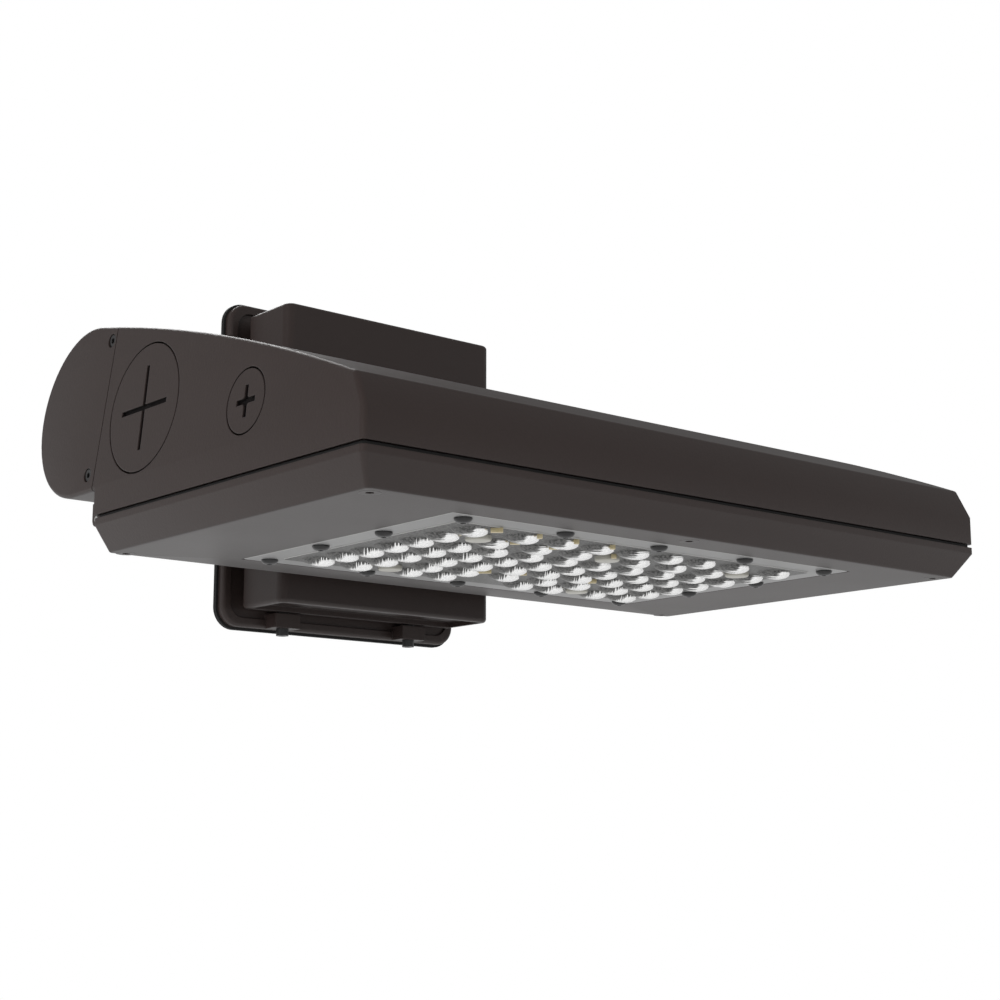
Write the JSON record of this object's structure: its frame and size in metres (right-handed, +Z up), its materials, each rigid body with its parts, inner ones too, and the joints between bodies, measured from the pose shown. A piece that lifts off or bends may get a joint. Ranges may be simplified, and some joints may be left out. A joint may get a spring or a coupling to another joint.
{
  "type": "LED wall pack",
  "caption": "Dark bronze wall-mounted area light: wedge housing with a round rear barrel, lensed light door that swings down, and a wall box that hooks on a wall plate.",
  "frame": {"origin": "middle of the wall plate, on the wall face of its gasket", "axes": "+Z up, the front of the light faces -Y, +X to the right seen from the front"},
  "size_m": [0.457, 0.346, 0.2176],
  "materials": {
    "bronze_paint": "semi-gloss dark bronze powder coat",
    "black_rubber": "matt",
    "black_screw": "black oxide",
    "bronze_screw": "painted with the door",
    "plated_steel": "zinc plated",
    "driver_case": "satin",
    "surge_case": "matt",
    "terminal_plastic": "matt",
    "thermal_pad": "matt",
    "board": "white solder mask",
    "led_phosphor": "yellow phosphor",
    "connector_plastic": "matt",
    "clear_lens": "clear moulded plastic",
    "green_screw": "green"
  },
  "bodies": {
    "wall_mount": {"wall_plate": "bronze_paint", "wall_gasket": "black_rubber", "ground_screw": "green_screw"},
    "luminaire": {"front_housing": "bronze_paint", "rear_barrel": "bronze_paint", "wall_box": "bronze_paint", "large_plug_left": "bronze_paint", "large_plug_right": "bronze_paint", "small_plug_left": "bronze_paint", "small_plug_right": "bronze_paint", "seam_gasket": "black_rubber", "large_plug_seals": "black_rubber", "small_plug_seals": "black_rubber", "box_seal": "black_rubber", "wire_grommet": "black_rubber", "barrel_screws": "black_screw", "box_bolts": "plated_steel", "tray_screws": "plated_steel", "hinge_pins": "plated_steel", "driver_tray": "plated_steel", "gear_tray": "plated_steel", "led_driver": "driver_case", "surge_module": "surge_case", "terminal_block": "terminal_plastic"},
    "lock_left": {"lock_screw_left": "black_screw"},
    "lock_right": {"lock_screw_right": "black_screw"},
    "door": {"door_frame": "bronze_paint", "door_gasket": "black_rubber", "door_screws": "bronze_screw", "hinge_strap_left": "plated_steel", "hinge_strap_right": "plated_steel", "strap_screws": "bronze_screw", "thermal_pad": "thermal_pad", "led_board": "board", "leds": "led_phosphor", "board_connector": "connector_plastic", "board_screws": "plated_steel", "lens_gasket": "black_rubber", "optic_plate": "clear_lens", "lens_screws": "black_screw"}
  },
  "joints": [
    {"name": "luminaire_lift", "type": "slide", "parent": "wall_mount", "child": "luminaire", "axis": [0, 0, 1], "range_m": [0, 0.009]},
    {"name": "lock_left_back_out", "type": "slide", "parent": "wall_mount", "child": "lock_left", "axis": [0, 0, -1], "range_m": [0, 0.008]},
    {"name": "lock_right_back_out", "type": "slide", "parent": "wall_mount", "child": "lock_right", "axis": [0, 0, -1], "range_m": [0, 0.008]},
    {"name": "door_hinge", "type": "hinge", "parent": "luminaire", "child": "door", "pos_m": [0, -0.087, -0.06425], "axis": [1, 0, 0], "range_deg": [0, 90]}
  ]
}
